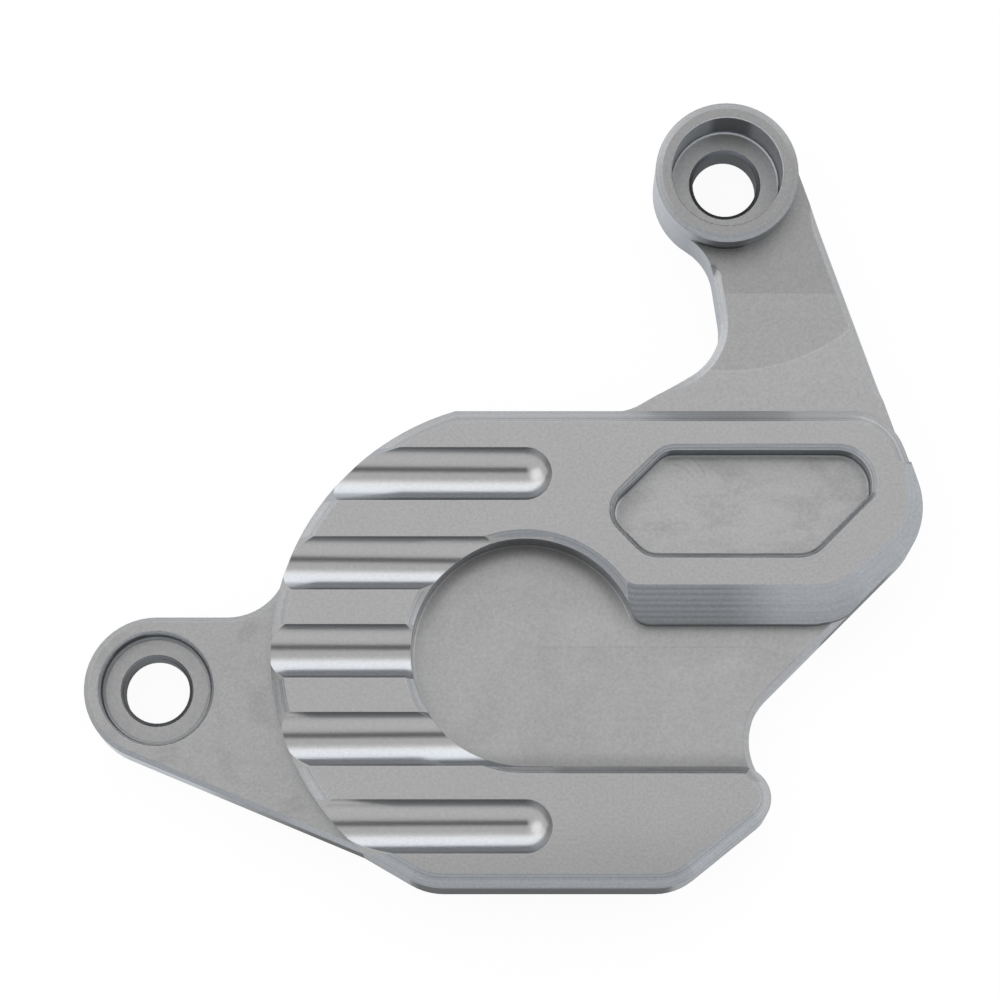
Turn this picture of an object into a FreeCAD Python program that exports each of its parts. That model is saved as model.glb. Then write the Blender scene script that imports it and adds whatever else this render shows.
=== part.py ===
import FreeCAD, Part
import math
import os

# Water pump cover guard, milled in one piece from a block of aluminium.
# All sizes are in millimetres and angles in degrees. The origin is on the axis of the round
# recess, in the flat back face. +X runs out along the channel, +Y towards the tall boss and
# +Z out of the front.

# Heights above the back face
ear_height = 4.8
arm_height = 6.0
body_height = 7.8
boss_height = 9.5

# Bolt ear, low, at the left
ear_x = -36.3
ear_y = -3.29
ear_radius = 7.1
ear_bevel = 0.5
ear_root_radius = 6.0

# Tall bolt boss, on the arm at the upper right, by its height over the body's top edge
boss_x = 20.05
boss_rise = 23.62
boss_radius = 7.1
boss_bevel = 0.65
boss_bevel_depth = 0.5

# Bolt holes, for socket head screws of size M6
bore_radius = 3.2
bore_bevel = 0.4
counterbore_radius = 5.5
ear_counterbore_depth = 1.9
ear_counterbore_corner = 0.5
ear_counterbore_bevel = 0.25
boss_counterbore_depth = 5.5
boss_counterbore_corner = 0.3
boss_counterbore_bevel = 0.1

# Raised body: a round part at the left, widened to the right
disc_x = 0.3
disc_y = -0.1
disc_radius = 25.28
top_cut = 1.05
bottom_cut = 2.29
body_bevel = 1.3
body_bevel_depth = 1.4
flat_angle = -30.2
flat_cut = 0.35
bottom_left_radius = 6.5
bottom_right_radius = 6.0
tail_angle = 38.8
nose_x = 20.88
nose_radius = 3.05
throat_radius = 6.4
diagonal_angle = 45.0
diagonal_x = 27.78
right_angle = 110.0
right_x = 44.85
right_lower_radius = 7.5
right_upper_radius = 5.6

# Round recess and the channel that leads out of it
recess_radius = 11.25
recess_depth = 3.5
recess_bevel = 0.8
recess_bevel_depth = 0.85
recess_corner = 0.3
channel_upper_y = 2.9
channel_inner_radius = 2.0
channel_mouth_x = 28.0
channel_mouth_radius = 7.0
floor_bevel = 0.6

# Wide slope from the upper plateau down to the channel and the right edge
slope_run = 5.0
slope_drop = 2.5
slope_rise_y = 3.65
slope_inner_radius = 2.0
slope_lower_radius = 6.0
slope_diagonal_angle = 40.0
slope_diagonal_x = 22.7
slope_upper_radius = 5.5
slope_right_angle = 93.0
slope_right_x = 38.38
slope_end = 5.3

# Arm that carries the boss, placed where its edges cross the line of the body's top edge
arm_right_angle = 109.32
arm_left_angle = -81.5
arm_left_x = 20.87
arm_neck_radius = 5.6
arm_elbow_radius = 6.1
arm_foot_angle = -149.4
arm_foot_x = 10.15
arm_foot_radius = 5.5

# Bevel of the arm: it starts with a notch under the neck and runs out in arcs elsewhere
arm_bevel = 0.7
notch_rise = 13.92
notch_radius = 0.2
runout_angle = 40.0
runout_radius = 7.0
upper_runout_rise = 20.42
lower_runout_rise = 2.12
lower_runout_radius = 1.6
foot_runout_rise = 1.89

# Six-sided pocket in the upper plateau, measured at its walls
pocket_depth = 3.0
pocket_bevel = 0.55
pocket_corner = 0.3
pocket_side_angle = 45.0
pocket_bottom_wall = 3.2
pocket_top_wall = 4.08
pocket_bottom_left_x = 12.03
pocket_top_left_x = 13.77
pocket_right_x = 34.1
pocket_right_drop = 4.27
pocket_left_radius = 2.45
pocket_lower_left_radius = 2.45
pocket_lower_right_radius = 2.95
pocket_right_radius = 0.95
pocket_upper_right_radius = 3.35
pocket_upper_left_radius = 2.45

# Ball-cut grooves across the round part, by the height of their centre lines on the front
groove_centres_y = (17.6, 8.7, 0.0, -8.65, -17.2)
groove_ball_radius = 3.0
groove_depth = 1.6

# Room that a cutting shape takes beyond the piece
overshoot = 2.0

# Lines that several features share, and the farthest that the piece goes from its origin
body_top_y = disc_y + disc_radius - top_cut
body_bottom_y = disc_y - disc_radius + bottom_cut
slope_y = channel_upper_y + slope_rise_y
boss_y = body_top_y + boss_rise
reach = boss_y + boss_radius + overshoot

# Closeness at which two places, or two heights, count as one
same_place = 1e-6
same_height = 1e-4

AHEAD = 1
BEHIND = -1


def line_at(angle, x, y):
    """Directed line through a point, kept as its heading and its offset to the right."""
    heading = math.radians(angle)
    return heading, x * math.sin(heading) - y * math.cos(heading)


def touching(station, heading):
    """Directed line that touches a round corner of an outline."""
    x, y, radius = station
    return heading, x * math.sin(heading) - y * math.cos(heading) + radius


def crossing(first, second):
    """Plain corner where two directed lines cross."""
    (heading_a, offset_a), (heading_b, offset_b) = first, second
    spread = math.sin(heading_b - heading_a)
    x = (offset_b * math.cos(heading_a) - offset_a * math.cos(heading_b)) / spread
    y = (offset_b * math.sin(heading_a) - offset_a * math.sin(heading_b)) / spread
    return x, y, 0.0


def corner(first, second, radius):
    """Round corner between two directed lines; the radius of a hollow corner is negative."""
    (heading_a, offset_a), (heading_b, offset_b) = first, second
    x, y, _ = crossing((heading_a, offset_a - radius), (heading_b, offset_b - radius))
    return x, y, radius


def fitted(radius, turn, side, other_radius, other_turn):
    """Radius of a corner, limited to what the other corner leaves of the side between them."""
    room = side - other_radius * math.tan(math.radians(other_turn) / 2)
    return min(radius, room / math.tan(math.radians(turn) / 2))


def tangent_to(station, line, radius, side):
    """Round corner that runs on smoothly from another one and touches a line."""
    x, y, station_radius = station
    heading, offset = line
    sideways = offset - radius - x * math.sin(heading) + y * math.cos(heading)
    along = side * math.sqrt((radius - station_radius) ** 2 - sideways ** 2)
    return (x + along * math.cos(heading) + sideways * math.sin(heading),
            y + along * math.sin(heading) - sideways * math.cos(heading),
            radius)


def rim_point(station, heading):
    """Point of a round corner at which the outline has the given heading."""
    x, y, radius = station
    return FreeCAD.Vector(x + radius * math.sin(heading), y - radius * math.cos(heading), 0)


def outline(stations, growth=0.0):
    """Closed face through a list of corners, given counter-clockwise as x, y, radius."""
    corners = [(x, y, radius + growth) for x, y, radius in stations]
    headings = []
    for start, end in zip(corners, corners[1:] + corners[:1]):
        gap_x, gap_y = end[0] - start[0], end[1] - start[1]
        rise = end[2] - start[2]
        run_squared = gap_x ** 2 + gap_y ** 2 - rise ** 2
        run = math.sqrt(run_squared) if run_squared > same_place else 0.0
        headings.append(math.atan2(gap_y, gap_x) - math.atan2(rise, run))
    edges = []
    for index, station in enumerate(corners):
        turn = (headings[index] - headings[index - 1]) % math.tau
        if station[2] < 0:
            turn -= math.tau
        begin = rim_point(station, headings[index - 1])
        middle = rim_point(station, headings[index - 1] + turn / 2)
        end = rim_point(station, headings[index])
        if station[2] != 0:
            edges.append(Part.Arc(begin, middle, end).toShape())
        arrival = rim_point(corners[(index + 1) % len(corners)], headings[index])
        if not end.isEqual(arrival, same_place):
            edges.append(Part.LineSegment(end, arrival).toShape())
    return Part.Face(Part.Wire(edges))


def block(stations, low, high, growth=0.0):
    """Upright block over an outline, between two heights."""
    face = outline(stations, growth)
    face.translate(FreeCAD.Vector(0, 0, low))
    return face.extrude(FreeCAD.Vector(0, 0, high - low))


def level_edges(shape, height):
    """Edges of a shape that lie wholly at one height."""
    return [edge for edge in shape.Edges
            if abs(edge.BoundBox.ZMin - height) < same_height
            and abs(edge.BoundBox.ZMax - height) < same_height]


def bevelled_block(stations, height, width, depth):
    """Block from the back face up, with a bevel along its top edge."""
    solid = block(stations, 0, height)
    return solid.makeChamfer(depth, width, level_edges(solid, height))


def countersink(stations, height, width, depth):
    """Cutting shape that widens an outline upwards to a surface, and goes on above it."""
    solid = block(stations, height - depth, height + overshoot, width)
    return solid.makeChamfer(depth, width, level_edges(solid, height - depth))


def sunk(stations, low, high, corner_radius):
    """Cutting shape with a rounded edge along its bottom."""
    solid = block(stations, low, high)
    return solid.makeFillet(corner_radius, level_edges(solid, low))


def bolt_hole(x, y, top, depth, corner_radius, mouth_bevel):
    """Cutting shape for a screw: bore, sunk seat for the head and the bevels of both."""
    seat = top - depth
    spot = FreeCAD.Vector(x, y, 0)
    bore = Part.makeCylinder(bore_radius, top + overshoot, spot - FreeCAD.Vector(0, 0, overshoot))
    bore_mouth = Part.makeCone(bore_radius, bore_radius + bore_bevel, bore_bevel,
                               spot + FreeCAD.Vector(0, 0, seat - bore_bevel))
    head = Part.makeCylinder(counterbore_radius, top + overshoot - seat,
                             spot + FreeCAD.Vector(0, 0, seat))
    head = head.makeFillet(corner_radius, level_edges(head, seat))
    head_mouth = Part.makeCone(counterbore_radius, counterbore_radius + mouth_bevel, mouth_bevel,
                               spot + FreeCAD.Vector(0, 0, top - mouth_bevel))
    return bore.multiFuse([bore_mouth, head, head_mouth])


def body_corners():
    """Round corners of the raised body, as the base of the piece has them too."""
    bottom = line_at(0, 0, body_bottom_y)
    nose = (nose_x, -recess_radius - nose_radius, nose_radius)
    tail = touching(nose, math.radians(tail_angle))
    disc = (disc_x, disc_y, disc_radius)
    flat = touching((disc_x, disc_y, disc_radius - flat_cut), math.radians(flat_angle))
    right = line_at(right_angle, right_x, 0)
    top = line_at(180, 0, body_top_y)
    diagonal = line_at(diagonal_angle, diagonal_x, 0)
    return {
        "bottom_left": corner(flat, bottom, bottom_left_radius),
        "bottom_right": corner(bottom, tail, bottom_right_radius),
        "nose": nose,
        "throat": tangent_to(nose, diagonal, -throat_radius, AHEAD),
        "right_lower": corner(diagonal, right, right_lower_radius),
        "right_upper": corner(right, top, right_upper_radius),
        "top_left": tangent_to(disc, top, 0.0, AHEAD),
        "disc": disc,
        "flat_start": tangent_to(disc, flat, 0.0, BEHIND),
    }


def base_corners(corners):
    """Corners of the low part over the whole outline, seen from the front only at the ear."""
    ear = (ear_x, ear_y, ear_radius)
    ear_top = touching(ear, math.pi)
    ear_root = tangent_to(corners["disc"], ear_top, -ear_root_radius, AHEAD)
    stations = [corners[name] for name in (
        "bottom_left", "bottom_right", "nose", "throat", "right_lower", "right_upper", "top_left",
        "disc")]
    stations += [ear_root, ear, corners["flat_start"]]
    return stations


def make_body(corners, nose_heading):
    """Raised body with its outer bevel and, at the right, the wide slope."""
    nose_line = touching(corners["nose"], nose_heading)
    diagonal = line_at(diagonal_angle, diagonal_x, 0)
    stations = [corners["bottom_left"], corners["bottom_right"], corners["nose"],
                crossing(nose_line, diagonal)]
    stations += [corners[name] for name in (
        "right_lower", "right_upper", "top_left", "disc", "flat_start")]
    sloped_area = Part.makeBox(reach, body_top_y - slope_end, body_height + overshoot)
    plain = bevelled_block(stations, body_height, body_bevel, body_bevel_depth).cut(sloped_area)
    sloped = block(stations, 0, body_height).common(sloped_area).common(make_slope())
    return plain.fuse(sloped)


def make_slope():
    """Block whose bevelled edge is the wide slope round the upper plateau."""
    rim = (0.0, 0.0, -recess_radius - recess_bevel)
    lower = line_at(0, 0, slope_y)
    diagonal = line_at(slope_diagonal_angle, slope_diagonal_x, 0)
    right = line_at(slope_right_angle, slope_right_x, 0)
    far_top = line_at(180, 0, reach)
    far_left = line_at(-90, -reach, 0)
    stations = [rim,
                tangent_to(rim, lower, slope_inner_radius, AHEAD),
                corner(lower, diagonal, slope_lower_radius),
                corner(diagonal, right, slope_upper_radius),
                corner(right, far_top, overshoot),
                corner(far_top, far_left, overshoot),
                corner(far_left, touching(rim, 0.0), overshoot)]
    solid = block(stations, 0, body_height, slope_run)
    return solid.makeChamfer(slope_drop, slope_run, level_edges(solid, body_height))


def make_arm():
    """Arm from the body's top edge up to the boss, and the boss."""
    boss = (boss_x, boss_y, boss_radius)
    left = line_at(arm_left_angle, arm_left_x, body_top_y)
    foot = line_at(arm_foot_angle, arm_foot_x, body_top_y)
    wall = line_at(180, 0, body_top_y)
    inside = line_at(-90, disc_x, 0)
    root = line_at(0, 0, body_top_y - right_upper_radius)
    right = touching(boss, math.radians(arm_right_angle))
    elbow = corner(left, foot, -arm_elbow_radius)
    stations = [boss,
                tangent_to(boss, left, -arm_neck_radius, AHEAD),
                elbow,
                corner(foot, wall, -arm_foot_radius),
                crossing(wall, inside),
                crossing(inside, root),
                crossing(root, right)]
    arm = block(stations, 0, arm_height).common(make_arm_bevel(right, left, elbow, foot))
    spot = FreeCAD.Vector(boss_x, boss_y, 0)
    shoulder = boss_height - boss_bevel_depth
    column = Part.makeCylinder(boss_radius, shoulder, spot)
    crown = Part.makeCone(boss_radius, boss_radius - boss_bevel, boss_bevel_depth,
                          spot + FreeCAD.Vector(0, 0, shoulder))
    return arm.multiFuse([column, crown])


def turned_line(line, turn, rise):
    """Line turned from another one at a point some way above the body's top edge."""
    heading, _ = line
    x, y, _ = crossing(line, line_at(0, 0, body_top_y + rise))
    return line_at(math.degrees(heading) + turn, x, y)


def make_arm_bevel(right, left, elbow, foot):
    """Bevelled block that leaves the arm's edges where their bevel ends."""
    lead_in = turned_line(right, runout_angle, lower_runout_rise)
    lead_out = turned_line(right, -runout_angle, upper_runout_rise)
    notch = turned_line(left, 90, notch_rise)
    foot_out = turned_line(foot, -runout_angle, foot_runout_rise)
    far_right = line_at(90, reach, 0)
    far_top = line_at(180, 0, reach + overshoot)
    boss_left = line_at(-90, boss_x - boss_radius - overshoot, 0)
    far_left = line_at(-90, -reach, 0)
    far_bottom = line_at(0, 0, body_bottom_y)
    stations = [corner(lead_in, right, -lower_runout_radius),
                corner(right, lead_out, -runout_radius),
                corner(lead_out, far_top, overshoot),
                corner(far_top, boss_left, overshoot),
                corner(boss_left, notch, overshoot),
                corner(notch, left, -notch_radius),
                elbow,
                corner(foot, foot_out, -runout_radius),
                corner(foot_out, far_left, overshoot),
                corner(far_left, far_bottom, overshoot),
                corner(far_bottom, far_right, overshoot),
                corner(far_right, lead_in, overshoot)]
    return bevelled_block(stations, arm_height, arm_bevel, arm_bevel)


def make_recess(corners, nose_heading, base_stations):
    """Cutting shape for the round recess and the channel out of it."""
    floor_height = body_height - recess_depth
    recess = (0.0, 0.0, recess_radius)
    upper = line_at(180, 0, channel_upper_y)
    nose = corners["nose"]
    hollow_nose = (nose[0], nose[1], -nose_radius)
    mouth = (channel_mouth_x, channel_upper_y + channel_mouth_radius, -channel_mouth_radius)
    far_bottom = line_at(0, 0, body_bottom_y)
    far_right = line_at(90, reach, 0)
    stations = [recess,
                hollow_nose,
                corner(touching(hollow_nose, nose_heading - math.pi), far_bottom, overshoot),
                corner(far_bottom, far_right, overshoot),
                corner(far_right, touching(mouth, math.radians(diagonal_angle) - math.pi),
                       overshoot),
                mouth,
                tangent_to(recess, upper, -channel_inner_radius, BEHIND)]
    hollow = sunk(stations, floor_height, body_height + overshoot, recess_corner)
    edge = countersink(stations, body_height, recess_bevel, recess_bevel_depth)
    floor = bevelled_block(base_stations, floor_height, floor_bevel, floor_bevel)
    outside = block(stations, -overshoot, floor_height + recess_corner).cut(floor)
    return hollow.multiFuse([edge, outside])


def make_pocket():
    """Cutting shape for the six-sided pocket."""
    bottom_y = slope_y + pocket_bottom_wall
    top_y = body_top_y - pocket_top_wall
    bottom = line_at(0, 0, bottom_y)
    lower_right = line_at(pocket_side_angle, pocket_right_x, top_y - pocket_right_drop)
    right = line_at(90, pocket_right_x, 0)
    top = line_at(180, 0, top_y)
    upper_left = line_at(180 + pocket_side_angle, pocket_top_left_x, top_y)
    lower_left = line_at(-pocket_side_angle, pocket_bottom_left_x, bottom_y)
    _, left_y, _ = crossing(upper_left, lower_left)
    left_side = (left_y - bottom_y) / math.sin(math.radians(pocket_side_angle))
    left_radius = fitted(pocket_left_radius, 2 * pocket_side_angle, left_side,
                         pocket_lower_left_radius, pocket_side_angle)
    stations = [corner(bottom, lower_right, pocket_lower_right_radius),
                corner(lower_right, right, pocket_right_radius),
                corner(right, top, pocket_upper_right_radius),
                corner(top, upper_left, pocket_upper_left_radius),
                corner(upper_left, lower_left, left_radius),
                corner(lower_left, bottom, pocket_lower_left_radius)]
    hollow = sunk(stations, body_height - pocket_depth, body_height + overshoot, pocket_corner)
    return hollow.fuse(countersink(stations, body_height, pocket_bevel, pocket_bevel))


def make_grooves():
    """Cutting shapes for the grooves: straight passes of a ball-ended cutter."""
    centre_height = body_height - groove_depth + groove_ball_radius
    grooves = []
    for y in groove_centres_y:
        end = FreeCAD.Vector(0, y, centre_height)
        grooves.append(Part.makeCylinder(groove_ball_radius, reach, end, FreeCAD.Vector(-1, 0, 0)))
        grooves.append(Part.makeSphere(groove_ball_radius, end))
    return grooves


def make_cover_guard():
    """The whole piece."""
    corners = body_corners()
    nose, throat = corners["nose"], corners["throat"]
    nose_heading = math.atan2(throat[1] - nose[1], throat[0] - nose[0]) + math.pi / 2
    base_stations = base_corners(corners)
    base = bevelled_block(base_stations, ear_height, ear_bevel, ear_bevel)
    solid = base.multiFuse([make_body(corners, nose_heading), make_arm()])
    cutters = [make_recess(corners, nose_heading, base_stations),
               make_pocket(),
               bolt_hole(ear_x, ear_y, ear_height, ear_counterbore_depth,
                         ear_counterbore_corner, ear_counterbore_bevel),
               bolt_hole(boss_x, boss_y, boss_height, boss_counterbore_depth,
                         boss_counterbore_corner, boss_counterbore_bevel)]
    solid = solid.cut(cutters + make_grooves())
    return solid.removeSplitter()


os.makedirs("parts", exist_ok=True)
make_cover_guard().exportStep("parts/cover_guard.step")
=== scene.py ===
import math

import bpy
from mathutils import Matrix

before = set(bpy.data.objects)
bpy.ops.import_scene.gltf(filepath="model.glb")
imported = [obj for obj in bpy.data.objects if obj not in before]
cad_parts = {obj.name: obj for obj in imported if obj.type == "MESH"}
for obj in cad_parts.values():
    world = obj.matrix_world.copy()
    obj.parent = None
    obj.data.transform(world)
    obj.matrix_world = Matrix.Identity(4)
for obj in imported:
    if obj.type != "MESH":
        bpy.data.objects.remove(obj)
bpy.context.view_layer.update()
MM = 0.001
WHITE = (1.0, 1.0, 1.0, 1.0)
SPECULAR_TINT = (0.7, 0.7, 0.7, 1.0)

# Places on the piece that the finish follows, in millimetres
EAR = (-36.3, -3.29)
BOSS = (20.05, 47.75)
RECESS = (0.0, 0.0)
NOTCH = (18.62, 38.6)
EAR_TOP = 4.8
RECESS_FLOOR = 4.3
POCKET_FLOOR = 4.8
ARM_TOP = 6.0
BODY_TOP = 7.8
GROOVE_LINES = (17.6, 8.7, 0.0, -8.65, -17.2)
GROOVE_HALF = 2.66
GROOVE_HALF_SOFT = 0.05
GROOVE_END = 2.6
GROOVE_END_SOFT = 0.2
EDGE_WIDTH = 0.07
LEVEL_REACH = 0.08

# Sides that the walls with the deepest painted shade face
SHADED_SIDE = (-0.105, -0.995, 0.0)
EAR_SHADED_SIDE = (0.5, -0.866, 0.0)

# Weights in x and y of the side that the brightest stretch of the recess's rim faces, where its
# painted highlight goes
RECESS_BRIGHT_SIDE = (0.75, 0.3)

# Boxes of features: from, to and softness in x, then in y
CHANNEL = ((0.0, 29.0, 0.2), (-11.5, 3.4, 0.1))
POCKET = ((10.5, 34.5, 0.2), (9.0, 21.5, 0.1))
POCKET_RIM = ((10.0, 35.5, 0.2), (8.2, 20.5, 0.2))
CHANNEL_SILL = ((3.0, 30.0, 1.0), (-12.8, -9.8, 0.2))
SLOPE_WALL = ((10.0, 36.0, 0.5), (1.5, 12.0, 0.3))

# Tool paths
ARM_ARC_RADIUS = 19.42
SWIRL = (14.4, 16.6)
SLOPE_STEP = 0.265
# The blend line's height in y at its left and at its right end
BLEND_HEIGHTS = (0.88, -0.6)
# The painted highlight on the lip: distance from the recess's axis, half width and reach in z
LIP_RADIUS = 10.97
LIP_HALF = 0.07
LIP_REACH = 0.1

# Cutter lines: place, half width and tone
ARM_ARC_LINES = ((0.12, 0.16, 1.07),)
ARM_LINES = ((36.1, 0.14, 1.05),)
BLEND_LINES = ((0.0, 0.13, 0.93),)
POCKET_LINES = ((17.5, 0.16, 0.95), (15.0, 0.16, 0.95), (12.5, 0.16, 0.95))
SWIRL_LINES = ((2.5, 0.16, 0.9), (3.1, 0.16, 0.9), (3.7, 0.16, 0.9))
BEVEL_LINES = ((7.44, 0.1, 0.72), (7.24, 0.07, 0.86), (6.52, 0.09, 0.88),
               (6.95, 0.2, 1.06), (7.71, 0.09, 0.8))
CORNER_LINES = ((7.12, 0.1, 1.22), (6.86, 0.12, 0.82))
SEAM_LINES = ((18.7, 0.2, 0.72),)
SLOPE_LINES = ((5.55, 0.1, 0.84), (5.8, 0.12, 1.06), (6.05, 0.1, 0.9))
BOSS_LINES = ((7.35, 0.16, 1.35), (6.95, 0.2, 0.75))

# Camera, looking down on the front from a little below
CAMERA_DISTANCE = 450.0
CAMERA_PITCH = math.radians(10.08)
CAMERA_AIM = (-2.495, 16.34)
CAMERA_LENS = 162.0
CAMERA_SENSOR = 36.0


class Band:
    """Ranges in millimetres over which a mask fades; a third value is its softness."""

    # Distances from the axes of the bores
    BORE = (3.4, 3.5)
    BORE_BEVEL_SHADE = (3.7, 3.8)
    SEAT_CORNER = (4.6, 4.8)
    SEAT = (5.6, 5.7)
    SEAT_WALL = (5.7, 5.9)
    SEAT_BEVEL_HIGHLIGHT = (5.75, 5.85)
    BOSS_WALL = (6.5, 7.5, 0.1)
    BOSS_FOOT_SHADE = (7.1, 10.2)
    NOTCH = (0.3, 0.65)
    # Beyond the arm's arc
    ARM_ARC = (-0.1, 0.1)
    # Distances from the axis of the recess
    RECESS_SHADE = (7.6, 9.6)
    RECESS_WALL_SHADE = (9.2, 10.7)
    RECESS_RIM_HIGHLIGHT = (10.5, 12.4, 0.1)
    RECESS_WALL = (11.5, 11.7)
    BEYOND_RIM = (13.0, 13.5)
    # Left to right
    EAR_END_X = (-32.5, -29.0)
    SHADED_X = (-31.0, -19.0)
    EAR_BEVEL_X = (-24.0, -22.0)
    EAR_X = (-16.0, -14.0)
    CORNER_START_X = (-14.0, -13.0)
    LIP_LEFT_X = (-2.0, 0.0)
    BLEND_X = (-0.5, 2.5)
    RECESS_RIGHT_X = (2.0, 10.0)
    PLATEAU_X = (9.0, 10.0)
    TOP_DARK_X = (12.2, 26.0, 0.6)
    SWIRL_X = (12.5, 18.6, 0.4)
    SLOPE_DARK_X = (19.0, 26.5)
    BLEND_END_X = (22.0, 28.0)
    BOSS_FOOT_X = (22.5, 26.0)
    TOP_LIGHT_X = (25.5, 27.5)
    CORNER_END_X = (27.0, 28.0)
    SLOPE_RIGHT_X = (30.0, 33.0)
    CORNER_X = (31.0, 34.0)
    POCKET_END_X = (34.5, 35.0)
    SEAM_X = (36.2, 36.6)
    # Bottom to top in the photograph
    PLATEAU_FOOT_Y = (-22.3, -15.0)
    BOTTOM_Y = (-19.0, -18.0)
    RECESS_FOOT_Y = (-11.0, -9.2)
    NOSE_Y = (-10.0, -9.0)
    LIP_START_Y = (-5.0, 2.0)
    BLEND_BELOW_Y = (-3.5, -0.05)
    BLEND_ABOVE_Y = (0.0, 0.05)
    LIP_Y = (3.2, 4.2)
    POCKET_Y = (8.5, 21.5, 0.1)
    SWIRL_Y = (17.6, 18.2)
    CORNER_Y = (18.7, 18.9)
    POCKET_TOP_Y = (19.1, 19.9)
    TOP_Y = (22.0, 22.5)
    ARM_Y = (24.5, 25.0)
    ARM_UPPER_Y = (36.0, 36.15)
    # Heights
    RECESS_CORNER_Z = (4.28, 4.62, 0.02)
    SEAT_CORNER_Z = (4.35, 4.45)
    POCKET_CORNER_Z = (4.8, 5.12, 0.02)
    NOTCH_Z = (5.0, 5.2)
    BODY_Z = (5.25, 5.3)
    SLOPE_WALL_Z = (5.3, 5.4)
    SLOPE_Z = (5.3, 7.7)
    GROOVE_Z = (6.1, 6.18)
    BOSS_WALL_Z = (6.5, 7.2)
    RECESS_RIM_Z = (6.8, 6.9)
    SILL_Z = (6.9, 7.0)
    POCKET_RIM_Z = (7.0, 7.1)
    GROOVE_TOP_Z = (BODY_TOP - 0.05, BODY_TOP - 0.01)
    BODY_END_Z = (7.9, 8.0)
    BOSS_RIM_Z = (8.5, 9.0)
    BOSS_BEVEL_Z = (8.9, 9.0)
    SEAT_BEVEL_Z = (9.3, 9.4)


class Facing:
    """Ranges of one part of the normal over which a mask fades."""

    # Upward part
    WALL = (0.1, 0.25)
    GROOVE = (0.3, 0.4)
    STEEP = (0.8, 0.84)
    SLOPE = (0.86, 0.93, 0.02)
    FLAT = (0.985, 0.999)
    # Part towards the right
    LEFT_WALL = (-1.0, -0.3)
    LEFT_BEVEL_LIGHT = (-0.45, -0.3)
    LEFT_RIM = (-0.35, -0.2)
    HOLLOW = (0.0, 0.9)
    RIGHT_RIM = (0.2, 0.35)
    RIGHT_WALL = (0.3, 1.0)
    NOSE_LIGHT = (0.4, 0.55)
    BORE = (0.5, 0.95)
    # Part towards the top edge of the photograph
    GROOVE_HIGH_SHADE = (-0.86, -0.78)
    SLOPE_WALL = (-0.8, -0.4)
    BOTTOM_SHADE = (-0.68, -0.55)
    EAR_END = (-0.6, -0.3)
    COOL_BEVEL = (-0.6, -0.4)
    SLOPE_FRONT = (-0.42, -0.3)
    SEAT_CORNER = (-0.3, 0.1)
    COOL_GROOVE = (0.1, 0.6)
    POCKET_RIM = (0.15, 0.3)
    SILL = (0.3, 0.5)
    TOP = (0.6, 0.68)
    GROOVE_LOW_SHADE = (0.7, 0.82)
    # Upper side of the recess, by the part of the way from its axis that is upward
    RECESS_UPPER = (0.1, 1.0)
    # Nearness to a side, which leaves about twenty degrees on either hand
    SIDE = (0.9, 0.97)
    RECESS_AWAY = (0.3, 0.6)
    # Nearness of the rounded edge normal to the true normal, where the painted edge highlight
    # goes
    EDGE_HIGHLIGHT = (0.9, 0.995)


class Noise:
    """Settings of each noise, how its place is stretched, and where its masks fade."""

    GRAIN = {"scale": 3.6, "detail": 3.0, "roughness": 0.7}
    CLOUD = {"scale": 0.16, "detail": 3.0, "roughness": 0.55}
    PATCH = {"scale": 0.13, "detail": 3.0, "roughness": 0.55, "distortion": 0.4}
    PATCH_SHEET = 3.0
    PATCH_RANGE = (-0.5, 0.6)
    PATCH_LINES_RANGE = (-0.2, 0.4)
    SMUDGE = {"scale": 0.22, "detail": 3.0, "roughness": 0.6, "distortion": 0.6}
    SMUDGE_RANGE = (-0.1, 0.7)
    POCKET = {"scale": 0.33, "detail": 3.0, "roughness": 0.6, "distortion": 0.5}
    POCKET_STRETCH = 0.5
    POCKET_SHEET = 7.0
    POCKET_RANGE = (-0.3, 0.7)
    BEVEL = {"scale": 5.5, "detail": 2.0, "roughness": 0.7}
    LENGTHWISE = {"scale": 6.0, "detail": 4.0, "roughness": 0.7}
    LENGTHWISE_STRETCH = 0.05
    DOTS = {"scale": 2.4, "detail": 2.0, "roughness": 0.6}
    DOTS_SQUEEZE = 3.0
    LEVEL = {"scale": 6.5, "detail": 3.0, "roughness": 0.65}
    LEVEL_STRETCH = 0.02


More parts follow.
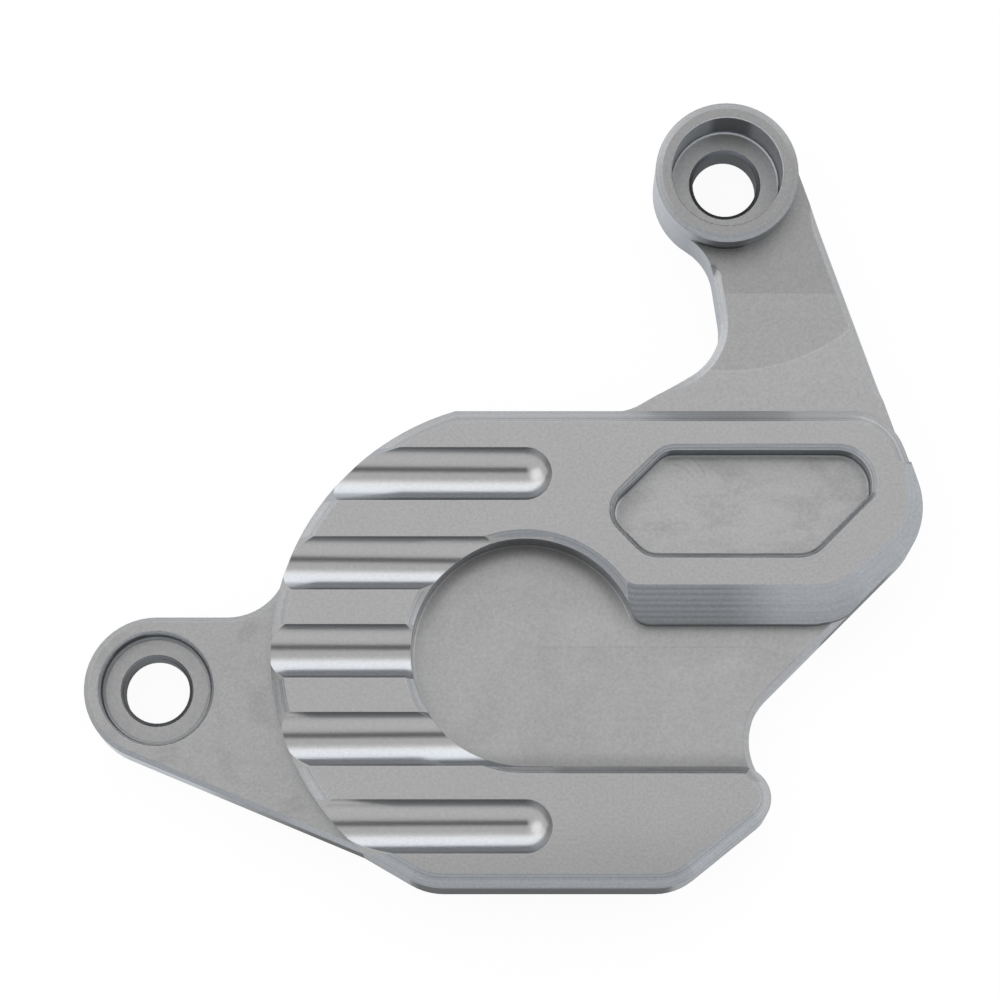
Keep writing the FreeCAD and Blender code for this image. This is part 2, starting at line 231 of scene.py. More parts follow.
class Tone:
    """Tones as shares of the tone around them, after the metal's own tone; many of them are
    painted light, shade, highlights and reflections.
    """

    METAL = 0.39
    GRAIN = 0.048
    GROOVE_GRAIN = 0.024
    CLOUD = 0.006
    FLAT = 0.96
    # Painted highlight along the edges of the flats
    EDGE_HIGHLIGHT = 1.06
    # Painted cool reflection on bevels, walls and the low sides of grooves
    COOL_RED = 0.955
    COOL_BLUE = 1.065
    COOL_BEVEL = 0.45
    # Arm and boss
    ARM_INSIDE_ARC = 0.91
    ARM_UPPER = 0.89
    # Painted shade on the arm round the boss's foot, fading out to the right
    BOSS_FOOT_SHADE = 0.82
    BOSS_FOOT_RIGHT = 0.25
    BOSS_RIM = 0.77
    # Painted shade on the floors of the seats
    SEAT = 0.87
    BOSS_BEVEL = 0.78
    # Painted highlight on the seat's bevel; painted shade on the bores' bevels and in the notch
    SEAT_BEVEL_HIGHLIGHT = 1.6
    BORE_BEVEL_SHADE = 0.66
    NOTCH = 0.6
    # Ear
    EAR = 0.94
    EAR_SMUDGE = 0.9
    EAR_BEVEL = 0.86
    # Recess and lower plateau
    # Painted shade towards the lower edge of the plateau
    PLATEAU_FOOT = 0.88
    RECESS_PATCH = 0.93
    RECESS_RIGHT = 1.06
    # Painted shade and reflection of the upper wall on the recess floor, then painted shade at
    # its foot
    RECESS_WALL_SHADE = 0.4
    RECESS_SHADE = 0.86
    RECESS_FOOT_SHADE = 0.78
    BLEND = 0.97
    # Painted highlight on the recess's rim
    RECESS_RIM_HIGHLIGHT = 1.7
    # Painted highlight on the lip at the recess's foot
    RECESS_LIP_HIGHLIGHT = 1.7
    # Painted shade on the channel's sill
    SILL = 0.78
    # Pocket
    POCKET = 1.06
    POCKET_CLOUD = 0.88
    # Painted shade on the floor under the pocket's top wall
    POCKET_TOP_SHADE = 0.8
    # Painted shade on the pocket's rim, on its right and its left side
    POCKET_RIM_RIGHT = 0.66
    POCKET_RIM_LEFT = 0.85
    # Slope and bevels
    BEVEL_NOISE = 0.09
    SLOPE = 0.9
    # Painted dark reflection over the slope's left stretch; the beat follows the real cutter
    # steps
    SLOPE_DARK_REFLECTION = 0.63
    SLOPE_BEAT = 0.055
    SLOPE_FOOT = 0.74
    # Painted reflection: a darker, then a lighter stretch of the top bevel
    TOP_DARK_REFLECTION = 0.95
    TOP_LIGHT_REFLECTION = 1.16
    # Painted shade on the bevel facing the lower side
    BOTTOM_SHADE = 0.86
    # Painted light on bevels facing left, and on the nose facing right
    LEFT_BEVEL_LIGHT = 1.12
    NOSE_LIGHT = 1.1
    # Grooves: painted shade on their steep sides
    GROOVE_LOW_SHADE = 0.7
    GROOVE_HIGH_SHADE = 0.72
    # Painted shade in the hollow corners
    CORNER = 0.5
    BOSS_SEAT_CORNER = 0.95
    # Painted light and shade on the outer walls, by the side they face
    WALL_LEFT = 1.5
    WALL_MIDDLE = 1.1
    WALL_RIGHT = 1.3
    EAR_END = 1.55
    SHADED_LOW = 0.2
    SHADED_HIGH = 0.65
    # Painted shade on the wall under the slope
    SLOPE_WALL = 0.44
    # Painted light and shade on the walls of hollows, by the side they face
    HOLLOW_LEFT = 1.2
    HOLLOW_RIGHT = 1.6
    POCKET_SHADED = 0.7
    RECESS_SHADED = 0.9
    BOSS_SEAT_SHADED = 0.52
    EAR_SEAT = 1.7
    EAR_SEAT_SHADED = 0.72
    # Painted shade in the bores
    BORE = 0.5
    BORE_RIGHT = 0.5


class Rough:
    """Roughness of each kind of face."""

    FLAT = 0.38
    WALL = 0.42
    BEVEL = 0.32
    GROOVE = 0.23


class Bump:
    """Strengths and depths of the fine marks."""

    STRENGTH = 0.35
    DISTANCE = 0.02
    GRAIN = 0.2
    GROOVE_LENGTHWISE = 0.13
    GROOVE_DOTS = 0.05


class Studio:
    """Light from around the piece, by tilt in degrees towards the top edge of the photograph."""

    FLOOR_HALF = 3.0
    FLOOR_DROP = 0.02
    FLOOR_COLOR = (0.86, 0.86, 0.86, 1.0)
    FLOOR_SEEN = 0.94
    FLOOR_REFLECTED = 0.3
    # Each range of tilt with the light at its start and end
    BELOW = (-100.0, -66.0, 0.62, 1.07)
    FRONT = (-50.0, -25.0, 1.0, 0.94)
    BEYOND = (80.0, 100.0, 1.0, 0.55)
    WINDOW_TILT = (34.0, 84.0, 12.0)
    WINDOW_X = (-0.9, 0.75, 0.2)
    WINDOW_LIGHT = 1.05
    # Spots: direction, then the outer and the inner edge in degrees
    LENS = ((0.0, -math.sin(0.235), math.cos(0.235)), 13.5, 6.0)
    LENS_LIGHT = 0.05
    SIDE = ((-0.68, 0.1, 0.72), 30.0, 14.0)
    SIDE_LIGHT = 0.9


class Graph:
    """Short calls for making shader nodes."""

    def __init__(self, tree):
        self.tree = tree
        self.nodes = tree.nodes
        self.nodes.clear()

    def node(self, kind, **settings):
        made = self.nodes.new(kind)
        for name, value in settings.items():
            setattr(made, name, value)
        return made

    def put(self, socket, value):
        if hasattr(value, "is_linked"):
            self.tree.links.new(value, socket)
        else:
            socket.default_value = value

    def math(self, operation, *values, clamp=False):
        made = self.node("ShaderNodeMath", operation=operation, use_clamp=clamp)
        for socket, value in zip(made.inputs, values):
            self.put(socket, value)
        return made.outputs[0]

    def product(self, first, *others):
        for other in others:
            first = self.math("MULTIPLY", first, other)
        return first

    def largest(self, first, *others):
        for other in others:
            first = self.math("MAXIMUM", first, other)
        return first

    def vector(self, operation, *values):
        """Dot product of two vectors, or the length of one."""
        made = self.node("ShaderNodeVectorMath", operation=operation)
        for socket, value in zip(made.inputs, values):
            self.put(socket, value)
        return made.outputs["Value"]

    def ramp(self, value, low, high, start, end):
        made = self.node("ShaderNodeMapRange", clamp=True, interpolation_type="SMOOTHSTEP")
        for name, item in zip(("Value", "From Min", "From Max", "To Min", "To Max"),
                              (value, low, high, start, end)):
            self.put(made.inputs[name], item)
        return made.outputs["Result"]

    def above(self, value, low, high):
        return self.ramp(value, low, high, 0.0, 1.0)

    def below(self, value, low, high):
        return self.ramp(value, low, high, 1.0, 0.0)

    def window(self, value, low, high, soft):
        """One inside a range, zero outside it, with soft ends."""
        return self.product(self.above(value, low - soft, low + soft),
                            self.below(value, high - soft, high + soft))

    def line(self, value, centre, half):
        """One on a thin line, fading to zero at its sides."""
        away = self.math("ABSOLUTE", self.math("SUBTRACT", value, centre))
        return self.below(away, 0.0, half)

    def mix(self, factor, first, second):
        made = self.node("ShaderNodeMix", data_type="FLOAT")
        for socket, value in zip((made.inputs[0], made.inputs[2], made.inputs[3]),
                                 (factor, first, second)):
            self.put(socket, value)
        return made.outputs[0]

    def shade(self, tone, share, *masks):
        """Tone multiplied by a share where all the masks are one."""
        return self.product(tone, self.mix(self.product(*masks), 1.0, share))

    def cut(self, tone, value, lines, *masks):
        """Tone with cutter lines across a value."""
        for centre, half, share in lines:
            tone = self.shade(tone, share, *masks, self.line(value, centre, half))
        return tone

    def noise(self, place, scale, detail, roughness, distortion=0.0):
        """Noise about zero, mostly between minus and plus one."""
        made = self.node("ShaderNodeTexNoise")
        for name, value in (("Vector", place), ("Scale", scale), ("Detail", detail),
                            ("Roughness", roughness), ("Distortion", distortion)):
            self.put(made.inputs[name], value)
        return self.product(self.math("SUBTRACT", made.outputs["Fac"], 0.5), 4.0)

    def combine(self, x, y, z):
        made = self.node("ShaderNodeCombineXYZ")
        for socket, value in zip(made.inputs, (x, y, z)):
            self.put(socket, value)
        return made.outputs[0]

    def split(self, vector):
        made = self.node("ShaderNodeSeparateXYZ")
        self.put(made.inputs[0], vector)
        return made.outputs


class Places:
    """Masks for the faces of the piece, from the place and the slope of each point."""

    def __init__(self, g):
        self.g = g
        scaled = g.node("ShaderNodeVectorMath", operation="SCALE")
        g.put(scaled.inputs[0], g.node("ShaderNodeTexCoord").outputs["Object"])
        g.put(scaled.inputs["Scale"], 1.0 / MM)
        self.place = scaled.outputs[0]
        self.x, self.y, self.z = g.split(self.place)
        self.normal = g.node("ShaderNodeNewGeometry").outputs["Normal"]
        self.normal_x, self.normal_y, self.normal_z = g.split(self.normal)
        self.from_boss = self.distance(BOSS)
        self.from_ear = self.distance(EAR)
        self.from_bore = g.math("MINIMUM", self.from_boss, self.from_ear)
        self.from_recess = self.distance(RECESS)
        self.flat = g.above(self.normal_z, *Facing.FLAT)
        self.wall = g.below(self.normal_z, *Facing.WALL)
        self.groove = self.find_grooves()
        self.bevel = g.product(
            g.math("SUBTRACT", g.math("SUBTRACT", 1.0, self.flat), self.wall, clamp=True),
            g.math("SUBTRACT", 1.0, self.groove))
        above_channel = g.above(self.z, *Band.BODY_Z)
        self.body_bevel = g.product(self.bevel, above_channel, g.below(self.z, *Band.BODY_END_Z))
        self.slope = g.product(self.bevel, g.window(self.normal_z, *Facing.SLOPE),
                               g.above(self.x, *Band.PLATEAU_X), above_channel)
        self.shaded = self.facing(SHADED_SIDE)

    def distance(self, axis):
        """Level distance from an upright axis."""
        g = self.g
        return g.vector("LENGTH", g.combine(g.math("SUBTRACT", self.x, axis[0]),
                                            g.math("SUBTRACT", self.y, axis[1]), 0.0))

    def find_grooves(self):
        g = self.g
        nearest = None
        for line in GROOVE_LINES:
            gap = g.math("ABSOLUTE", g.math("SUBTRACT", self.y, line))
            nearest = gap if nearest is None else g.math("MINIMUM", nearest, gap)
        return g.product(g.below(nearest, GROOVE_HALF, GROOVE_HALF + GROOVE_HALF_SOFT),
                         g.below(self.x, GROOVE_END, GROOVE_END + GROOVE_END_SOFT),
                         g.below(self.z, *Band.GROOVE_TOP_Z), g.above(self.z, *Band.GROOVE_Z),
                         g.above(self.normal_z, *Facing.GROOVE))

    def facing(self, side):
        return self.g.above(self.g.vector("DOT_PRODUCT", self.normal, side), *Facing.SIDE)

    def level(self, height):
        """Flat faces at one height."""
        return self.g.product(self.flat, self.g.line(self.z, height, LEVEL_REACH))

    def box(self, box):
        return self.g.product(self.g.window(self.x, *box[0]), self.g.window(self.y, *box[1]))


def arm_marks(g, p, tone):
    """Arc and level line on the arm, darker rim, painted shade on the seats' floors and at the
    boss's foot.
    """
    arm = g.product(p.level(ARM_TOP), g.above(p.y, *Band.ARM_Y))
    arc = g.math("SUBTRACT", p.from_boss, ARM_ARC_RADIUS)
    tone = g.shade(tone, Tone.ARM_INSIDE_ARC, arm, g.below(arc, *Band.ARM_ARC))
    tone = g.cut(tone, arc, ARM_ARC_LINES, arm)
    tone = g.shade(tone, Tone.ARM_UPPER, arm, g.above(p.y, *Band.ARM_UPPER_Y))
    tone = g.cut(tone, p.y, ARM_LINES, arm)
    # Painted shade round the boss's foot
    tone = g.shade(tone, Tone.BOSS_FOOT_SHADE, arm, g.below(p.from_boss, *Band.BOSS_FOOT_SHADE),
                   g.ramp(p.x, *Band.BOSS_FOOT_X, 1.0, Tone.BOSS_FOOT_RIGHT))
    tone = g.shade(tone, Tone.BOSS_RIM, p.flat, g.above(p.z, *Band.BOSS_RIM_Z))
    # Painted shade on the seats' floors
    return g.shade(tone, Tone.SEAT, p.flat, g.below(p.from_bore, *Band.SEAT))


def ear_marks(g, p, tone):
    """Darker, smudged flat of the ear."""
    ear = g.product(p.level(EAR_TOP), g.below(p.x, *Band.EAR_X))
    tone = g.shade(tone, Tone.EAR, ear)
    smudge = g.noise(g.combine(p.x, p.y, 0.0), **Noise.SMUDGE)
    return g.shade(tone, Tone.EAR_SMUDGE, ear, g.above(smudge, *Noise.SMUDGE_RANGE))


def recess_marks(g, p, tone, patch):
    """Patches, painted shade and reflection of the wall under it, painted shade at the foot, and
    the long blend line of the recess floor; painted shade towards the plateau's lower edge.
    """
    # Painted shade towards the plateau's lower edge
    tone = g.shade(tone, Tone.PLATEAU_FOOT, p.level(BODY_TOP),
                   g.below(p.y, *Band.PLATEAU_FOOT_Y))
    floor = p.level(RECESS_FLOOR)
    tone = g.shade(tone, Tone.RECESS_PATCH, floor, g.above(patch, *Noise.PATCH_RANGE))
    tone = g.shade(tone, Tone.RECESS_RIGHT, floor, g.above(p.x, *Band.RECESS_RIGHT_X))
    upper = g.above(g.math("DIVIDE", p.y, p.from_recess), *Facing.RECESS_UPPER)
    # Painted shade and reflection of the upper wall on the floor near it
    tone = g.shade(tone, Tone.RECESS_WALL_SHADE, floor, upper,
                   g.above(p.from_recess, *Band.RECESS_WALL_SHADE))
    tone = g.shade(tone, Tone.RECESS_SHADE, floor, upper,
                   g.above(p.from_recess, *Band.RECESS_SHADE))
    # Painted shade at the floor's foot
    tone = g.shade(tone, Tone.RECESS_FOOT_SHADE, floor, g.below(p.y, *Band.RECESS_FOOT_Y))
    blend = g.product(floor, g.above(p.x, *Band.BLEND_X))
    run = g.math("SUBTRACT", p.y, g.ramp(p.x, *Band.BLEND_END_X, *BLEND_HEIGHTS))
    tone = g.cut(tone, run, BLEND_LINES, blend)
    return g.shade(tone, Tone.BLEND, blend, g.above(run, *Band.BLEND_BELOW_Y),
                   g.below(run, *Band.BLEND_ABOVE_Y))


def pocket_marks(g, p, tone, patch):
    """Clouds, level lines and a swirl on the pocket's floor, and painted shade under its top
    wall.
    """
    pocket = g.product(p.level(POCKET_FLOOR), g.above(p.x, *Band.PLATEAU_X))
    place = g.combine(g.product(p.x, Noise.POCKET_STRETCH), p.y, Noise.POCKET_SHEET)
    cloud = g.above(g.noise(place, **Noise.POCKET), *Noise.POCKET_RANGE)
    tone = g.shade(tone, Tone.POCKET, pocket)
    tone = g.shade(tone, Tone.POCKET_CLOUD, pocket, cloud)
    # Painted shade under the top wall
    tone = g.shade(tone, Tone.POCKET_TOP_SHADE, pocket, g.above(p.y, *Band.POCKET_TOP_Y))
    tone = g.cut(tone, p.y, POCKET_LINES, pocket, g.above(patch, *Noise.PATCH_LINES_RANGE))
    return g.cut(tone, p.distance(SWIRL), SWIRL_LINES, pocket,
                 g.window(p.x, *Band.SWIRL_X), g.above(p.y, *Band.SWIRL_Y))


def slope_marks(g, p, tone):
    """The front of the wide slope a little darker, a painted dark reflection over its left
    stretch with the beat of its cutter steps in it, darker towards its foot, and the lines at
    its right foot.
    """
    front = g.product(p.slope, g.below(p.normal_y, *Facing.SLOPE_FRONT))
    steps = g.product(g.math("SINE", g.product(p.z, math.tau / SLOPE_STEP)), Tone.SLOPE_BEAT)
    tone = g.shade(tone, Tone.SLOPE, front)
    # Painted dark reflection, with the beat of the real cutter steps in it
    tone = g.shade(tone, g.math("ADD", Tone.SLOPE_DARK_REFLECTION, steps), front,
                   g.below(p.x, *Band.SLOPE_DARK_X))
    tone = g.shade(tone, Tone.SLOPE_FOOT, front, g.below(p.z, *Band.SLOPE_Z))
    return g.cut(tone, p.z, SLOPE_LINES, p.slope, g.above(p.x, *Band.SLOPE_RIGHT_X))


def body_bevel_marks(g, p, tone):
    """Painted reflection in darker and lighter stretches of the body's top bevel, painted shade
    on its bevel facing the lower side, painted light on bevels facing left and right, its cutter
    lines and its seam.
    """
    body = p.body_bevel
    top = g.product(body, g.above(p.normal_y, *Facing.TOP), g.above(p.y, *Band.TOP_Y))
    # Painted reflection on the top bevel
    tone = g.shade(tone, Tone.TOP_DARK_REFLECTION, top, g.window(p.x, *Band.TOP_DARK_X))
    tone = g.shade(tone, Tone.TOP_LIGHT_REFLECTION, top, g.above(p.x, *Band.TOP_LIGHT_X))
    # Painted shade on the bevel facing the lower side
    tone = g.shade(tone, Tone.BOTTOM_SHADE, body, g.below(p.normal_y, *Facing.BOTTOM_SHADE),
                   g.below(p.y, *Band.BOTTOM_Y))
    tone = g.cut(tone, p.z, BEVEL_LINES, body, g.below(p.normal_z, *Facing.STEEP))
    # Painted light on bevels facing left and right
    tone = g.shade(tone, Tone.LEFT_BEVEL_LIGHT, body, g.below(p.normal_x, *Facing.LEFT_BEVEL_LIGHT),
                   g.above(p.from_recess, *Band.BEYOND_RIM))
    tone = g.shade(tone, Tone.NOSE_LIGHT, body, g.above(p.normal_x, *Facing.NOSE_LIGHT),
                   g.below(p.y, *Band.NOSE_Y))
    tone = g.cut(tone, p.z, CORNER_LINES, body, g.above(p.x, *Band.CORNER_X),
                 g.above(p.y, *Band.CORNER_Y))
    return g.cut(tone, p.y, SEAM_LINES, body, g.above(p.x, *Band.SEAM_X))


def rim_marks(g, p, tone):
    """Tones of the bevels round the hollows, the boss, the ear and the bores: painted shade on
    the channel's sill, the pocket's rim, the bores' bevels and in the notch, painted highlights
    on the recess's rim and the seat's bevel.
    """
    # Painted shade on the channel's sill
    tone = g.shade(tone, Tone.SILL, p.bevel, g.above(p.z, *Band.SILL_Z), p.box(CHANNEL_SILL),
                   g.above(p.normal_y, *Facing.SILL))
    away = g.math("ADD", g.product(p.normal_x, RECESS_BRIGHT_SIDE[0]),
                  g.product(p.normal_y, RECESS_BRIGHT_SIDE[1]))
    # Painted highlight on the recess's rim where it faces right and up
    tone = g.shade(tone, Tone.RECESS_RIM_HIGHLIGHT, p.bevel, g.window(p.from_recess, *Band.RECESS_RIM_HIGHLIGHT),
                   g.above(p.z, *Band.RECESS_RIM_Z), g.above(away, *Facing.RECESS_AWAY))
    tone = g.shade(tone, Tone.BOSS_BEVEL, p.bevel, g.above(p.z, *Band.BOSS_BEVEL_Z))
    # Painted highlight on the seat's bevel
    tone = g.shade(tone, Tone.SEAT_BEVEL_HIGHLIGHT, p.bevel, g.above(p.z, *Band.SEAT_BEVEL_Z),
                   g.below(p.from_boss, *Band.SEAT_BEVEL_HIGHLIGHT))
    # Painted shade on the pocket's rim
    rim = g.product(p.bevel, g.above(p.z, *Band.POCKET_RIM_Z), p.box(POCKET_RIM),
                    g.above(p.normal_y, *Facing.POCKET_RIM))
    tone = g.shade(tone, Tone.POCKET_RIM_RIGHT, rim, g.below(p.normal_x, *Facing.LEFT_RIM))
    tone = g.shade(tone, Tone.POCKET_RIM_LEFT, rim, g.above(p.normal_x, *Facing.RIGHT_RIM))
    tone = g.shade(tone, Tone.EAR_BEVEL, p.bevel, g.below(p.x, *Band.EAR_BEVEL_X))
    # Painted shade on the bores' bevels and in the notch
    tone = g.shade(tone, Tone.BORE_BEVEL_SHADE, p.bevel, g.below(p.from_bore, *Band.BORE_BEVEL_SHADE))
    return g.shade(tone, Tone.NOTCH, g.below(p.distance(NOTCH), *Band.NOTCH),
                   g.above(p.z, *Band.NOTCH_Z))


def bevel_marks(g, p, tone):
    """Level cutter lines on all bevels, then the marks of each bevel, and painted shade on the
    steep sides of the grooves.
    """
    lines = g.noise(g.combine(0.0, 0.0, p.z), **Noise.BEVEL)
    tone = g.shade(tone, g.math("ADD", 1.0, g.product(lines, Tone.BEVEL_NOISE)), p.bevel)
    tone = slope_marks(g, p, tone)
    tone = body_bevel_marks(g, p, tone)
    tone = rim_marks(g, p, tone)
    # Painted shade on the grooves' steep sides
    tone = g.shade(tone, Tone.GROOVE_LOW_SHADE, p.groove, g.above(p.normal_y, *Facing.GROOVE_LOW_SHADE))
    return g.shade(tone, Tone.GROOVE_HIGH_SHADE, p.groove, g.below(p.normal_y, *Facing.GROOVE_HIGH_SHADE))


def hollow_walls(g, p):
    """Mask and painted light and shade of the walls of the recess, its channel, the pocket and
    the seats, by the side each faces.
    """
    recess = g.below(p.from_recess, *Band.RECESS_WALL)
    boss_seat = g.below(p.from_boss, *Band.SEAT_WALL)
    ear_seat = g.below(p.from_ear, *Band.SEAT_WALL)
    mask = g.product(p.wall, g.largest(p.box(CHANNEL), p.box(POCKET), recess,
                                       boss_seat, ear_seat))
    lit = g.ramp(p.normal_x, *Facing.HOLLOW, Tone.HOLLOW_LEFT, Tone.HOLLOW_RIGHT)
    shaded = g.mix(recess, Tone.POCKET_SHADED, Tone.RECESS_SHADED)
    shaded = g.mix(boss_seat, shaded, Tone.BOSS_SEAT_SHADED)
    ear_tones = g.mix(p.facing(EAR_SHADED_SIDE), Tone.EAR_SEAT, Tone.EAR_SEAT_SHADED)
    return mask, g.mix(ear_seat, g.mix(p.shaded, lit, shaded), ear_tones)


def wall_tones(g, p, tone):
    """Painted light and shade on the walls: outer walls lighter towards the left and darkest
    where they face the lower side, bores and the wall under the slope darker.
    """
    right = g.ramp(p.normal_x, *Facing.RIGHT_WALL, Tone.WALL_MIDDLE, Tone.WALL_RIGHT)
    side = g.mix(g.below(p.normal_x, *Facing.LEFT_WALL), right, Tone.WALL_LEFT)
    side = g.shade(side, Tone.EAR_END, g.below(p.x, *Band.EAR_END_X),
                   g.below(p.normal_y, *Facing.EAR_END))
    outer = g.mix(g.product(p.shaded, g.above(p.x, *Band.SHADED_X)), side,
                  g.ramp(p.z, *Band.BOSS_WALL_Z, Tone.SHADED_LOW, Tone.SHADED_HIGH))
    hollow, hollow_tones = hollow_walls(g, p)
    share = g.mix(hollow, g.mix(p.wall, 1.0, outer), hollow_tones)
    # Painted shade in the bores
    bore = g.product(p.wall, g.below(p.from_bore, *Band.BORE))
    bore_tone = g.ramp(p.normal_x, *Facing.BORE, 1.0, Tone.BORE_RIGHT)
    share = g.mix(bore, share, g.product(Tone.BORE, bore_tone))
    # Painted shade on the wall under the slope
    under = g.product(p.wall, p.box(SLOPE_WALL), g.below(p.z, *Band.SLOPE_WALL_Z),
                      g.below(p.normal_y, *Facing.SLOPE_WALL))
    share = g.mix(under, share, Tone.SLOPE_WALL)
    share = g.cut(share, p.z, BOSS_LINES, p.wall, g.window(p.from_boss, *Band.BOSS_WALL))
    return g.product(tone, share)


def corner_tones(g, p, tone):
    """Painted shade in the hollow corners round the floors, and a painted highlight on the lip
    at the recess's foot.
    """
    seats = g.product(g.below(p.from_bore, *Band.SEAT), g.above(p.from_bore, *Band.SEAT_CORNER),
                      g.below(p.z, *Band.SEAT_CORNER_Z))
    recess = g.product(g.above(p.x, *Band.CORNER_START_X), g.window(p.z, *Band.RECESS_CORNER_Z),
                       g.below(p.x, *Band.CORNER_END_X))
    pocket = g.product(g.window(p.z, *Band.POCKET_CORNER_Z), g.window(p.y, *Band.POCKET_Y),
                       g.above(p.x, *Band.PLATEAU_X), g.below(p.x, *Band.POCKET_END_X))
    upper_seat = g.product(g.below(p.from_boss, *Band.SEAT_WALL),
                           g.below(p.normal_y, *Facing.SEAT_CORNER))
    # Painted shade in the corners, lighter in the upper part of the boss's seat
    tone = g.shade(tone, g.mix(upper_seat, Tone.CORNER, Tone.BOSS_SEAT_CORNER), p.bevel,
                   g.largest(seats, recess, pocket))
    # Painted highlight on the lip
    return g.shade(tone, Tone.RECESS_LIP_HIGHLIGHT, g.line(p.from_recess, LIP_RADIUS, LIP_HALF),
                   g.line(p.z, RECESS_FLOOR, LIP_REACH), g.above(p.y, *Band.LIP_START_Y),
                   g.largest(g.above(p.y, *Band.LIP_Y), g.below(p.x, *Band.LIP_LEFT_X)))


def cool_tint(g, p, tone):
    """Colour from a tone, with a painted cool reflection: a little blue on bevels, walls and the
    low sides of grooves.
    """
    bevel = g.product(p.bevel, g.ramp(p.normal_y, *Facing.COOL_BEVEL, 1.0, Tone.COOL_BEVEL))
    groove = g.product(p.groove, g.above(p.normal_y, *Facing.COOL_GROOVE))
    cool = g.largest(bevel, p.slope, p.wall, groove)
    return g.combine(g.shade(tone, Tone.COOL_RED, cool), tone,
                     g.shade(tone, Tone.COOL_BLUE, cool))


def fine_marks(g, p, grain):
    """Height of the grain on flats, of level lines on bevels and of chatter in grooves."""
    lengthwise = g.noise(g.combine(g.product(p.x, Noise.LENGTHWISE_STRETCH), p.y, 0.0),
                         **Noise.LENGTHWISE)
    dots = g.noise(g.combine(p.x, g.product(p.y, Noise.DOTS_SQUEEZE), 0.0), **Noise.DOTS)
    level = g.noise(g.combine(g.product(p.x, Noise.LEVEL_STRETCH),
                              g.product(p.y, Noise.LEVEL_STRETCH), p.z), **Noise.LEVEL)
    chatter = g.math("ADD", g.product(lengthwise, Bump.GROOVE_LENGTHWISE),
                     g.product(dots, Bump.GROOVE_DOTS))
    return g.mix(p.groove, g.mix(p.bevel, g.product(grain, Bump.GRAIN), level), chatter)


def anodised_aluminium():
    """Grey anodised, finely milled aluminium, satin on the flats and brighter in the cuts; its
    tone also carries painted light, shade, highlights and reflections.
    """
    material = bpy.data.materials.new("grey_anodised_aluminium")
    material.use_nodes = True
    g = Graph(material.node_tree)
    p = Places(g)

    edge = g.node("ShaderNodeBevel", samples=3)
    g.put(edge.inputs["Radius"], EDGE_WIDTH * MM)
    # Painted highlight: flats lighter where the rounded edge normal turns away from the true one
    edge_highlight = g.below(g.vector("DOT_PRODUCT", edge.outputs[0], p.normal), *Facing.EDGE_HIGHLIGHT)

    grain = g.noise(p.place, **Noise.GRAIN)
    cloud = g.noise(p.place, **Noise.CLOUD)
    patch = g.noise(g.combine(p.x, p.y, Noise.PATCH_SHEET), **Noise.PATCH)
    strength = g.mix(p.groove, Tone.GRAIN, Tone.GROOVE_GRAIN)
    tone = g.math("ADD", Tone.METAL, g.math("ADD", g.product(grain, strength),
                                            g.product(cloud, Tone.CLOUD)))
    tone = g.shade(tone, Tone.FLAT, p.flat)
    tone = arm_marks(g, p, tone)
    tone = ear_marks(g, p, tone)
    tone = recess_marks(g, p, tone, patch)
    tone = pocket_marks(g, p, tone, patch)
    tone = bevel_marks(g, p, tone)
    tone = wall_tones(g, p, tone)
    tone = corner_tones(g, p, tone)
    # Painted highlight along the edges of the flats
    tone = g.shade(tone, Tone.EDGE_HIGHLIGHT, edge_highlight, p.flat)

    rough = g.mix(p.wall, Rough.FLAT, Rough.WALL)
    rough = g.mix(p.groove, g.mix(p.bevel, rough, Rough.BEVEL), Rough.GROOVE)
    bump = g.node("ShaderNodeBump")
    g.put(bump.inputs["Strength"], Bump.STRENGTH)
    g.put(bump.inputs["Distance"], Bump.DISTANCE * MM)
    g.put(bump.inputs["Height"], fine_marks(g, p, grain))
    g.put(bump.inputs["Normal"], edge.outputs[0])

    shader = g.node("ShaderNodeBsdfPrincipled")
    g.put(shader.inputs["Base Color"], cool_tint(g, p, tone))
    g.put(shader.inputs["Metallic"], 1.0)
    g.put(shader.inputs["Specular Tint"], SPECULAR_TINT)
    g.put(shader.inputs["Roughness"], rough)
    g.put(shader.inputs["Normal"], bump.outputs[0])
    out = g.node("ShaderNodeOutputMaterial")
    g.put(out.inputs["Surface"], shader.outputs[0])
    return material


def pale_floor():
    """Wide pale floor that the piece lies on."""
    half = Studio.FLOOR_HALF
    corners = ((-half, -half), (half, -half), (half, half), (-half, half))
    mesh = bpy.data.meshes.new("floor")
    mesh.from_pydata([(x, y, -Studio.FLOOR_DROP * MM) for x, y in corners], [], [(0, 1, 2, 3)])
    floor = bpy.data.objects.new("floor", mesh)
    bpy.context.scene.collection.objects.link(floor)
    material = bpy.data.materials.new("floor_white")
    material.use_nodes = True
    g = Graph(material.node_tree)
    diffuse = g.node("ShaderNodeBsdfDiffuse")
    g.put(diffuse.inputs["Color"], Studio.FLOOR_COLOR)
    glow = g.node("ShaderNodeEmission")
    g.put(glow.inputs["Color"], WHITE)
    path = g.node("ShaderNodeLightPath").outputs
    reflected = g.largest(path["Is Glossy Ray"], path["Is Transmission Ray"])
    blend = g.node("ShaderNodeMixShader")
    g.put(blend.inputs[0], g.largest(g.product(path["Is Camera Ray"], Studio.FLOOR_SEEN),
                                     g.product(reflected, Studio.FLOOR_REFLECTED)))
    g.put(blend.inputs[1], diffuse.outputs[0])
    g.put(blend.inputs[2], glow.outputs[0])
    out = g.node("ShaderNodeOutputMaterial")
    g.put(out.inputs["Surface"], blend.outputs[0])
    floor.data.materials.append(material)


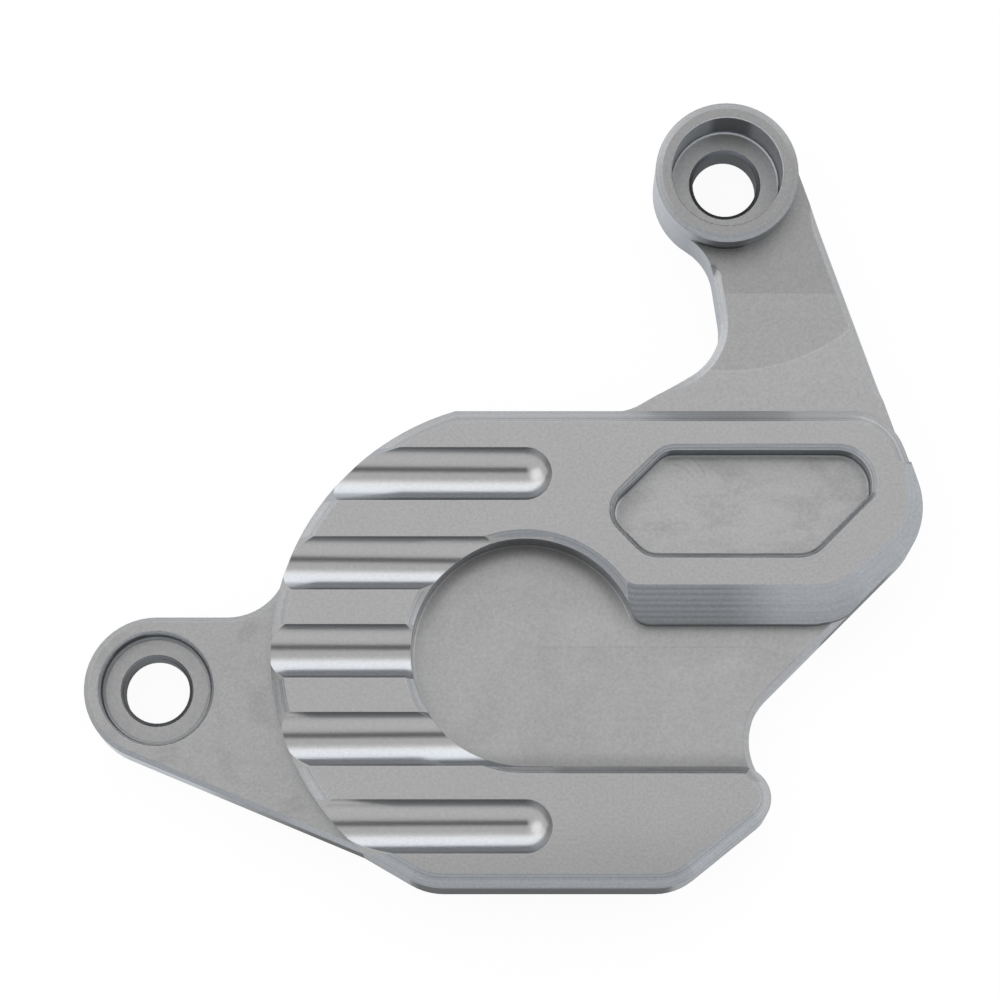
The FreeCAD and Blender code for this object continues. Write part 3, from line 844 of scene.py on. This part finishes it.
def spot(g, direction, spot_edges, outside, inside):
    """One level outside a round spot of the surroundings, another inside it."""
    axis, outer, inner = spot_edges
    return g.ramp(g.vector("DOT_PRODUCT", direction, axis), math.cos(math.radians(outer)),
                  math.cos(math.radians(inner)), outside, inside)


def studio_world():
    """Even pale surroundings, a broad light window beyond the top edge of the piece."""
    world = bpy.data.worlds.new("studio")
    bpy.context.scene.world = world
    world.use_nodes = True
    g = Graph(world.node_tree)
    direction = g.node("ShaderNodeTexCoord").outputs["Generated"]
    x, y, z = g.split(direction)
    tilt = g.product(g.math("ARCTAN2", y, z), 180.0 / math.pi)
    window = g.product(g.window(tilt, *Studio.WINDOW_TILT), g.window(x, *Studio.WINDOW_X))
    around = g.product(g.ramp(tilt, *Studio.BELOW), g.ramp(tilt, *Studio.FRONT),
                       g.ramp(tilt, *Studio.BEYOND))
    side = spot(g, direction, Studio.SIDE, 0.0, 1.0)
    lights = g.largest(g.product(window, Studio.WINDOW_LIGHT),
                       g.product(side, Studio.SIDE_LIGHT))
    lens = spot(g, direction, Studio.LENS, 1.0, Studio.LENS_LIGHT)
    level = g.product(g.math("ADD", around, lights), lens)
    path = g.node("ShaderNodeLightPath")
    back = g.node("ShaderNodeBackground")
    g.put(back.inputs["Color"], WHITE)
    g.put(back.inputs["Strength"], g.mix(path.outputs["Is Camera Ray"], level, 1.0))
    out = g.node("ShaderNodeOutputWorld")
    g.put(out.inputs["Surface"], back.outputs[0])


def camera():
    """Camera at the photograph's viewing angle."""
    data = bpy.data.cameras.new("camera")
    data.lens = CAMERA_LENS
    data.sensor_width = CAMERA_SENSOR
    made = bpy.data.objects.new("camera", data)
    bpy.context.scene.collection.objects.link(made)
    made.location = (CAMERA_AIM[0] * MM,
                     (CAMERA_AIM[1] - CAMERA_DISTANCE * math.sin(CAMERA_PITCH)) * MM,
                     CAMERA_DISTANCE * math.cos(CAMERA_PITCH) * MM)
    made.rotation_euler = (CAMERA_PITCH, 0.0, 0.0)
    bpy.context.scene.camera = made


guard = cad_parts["cover_guard"]
metal = anodised_aluminium()
for slot in guard.material_slots:
    slot.link = "OBJECT"
    slot.material = metal

pale_floor()
studio_world()
camera()
bpy.context.scene.view_settings.view_transform = "Standard"
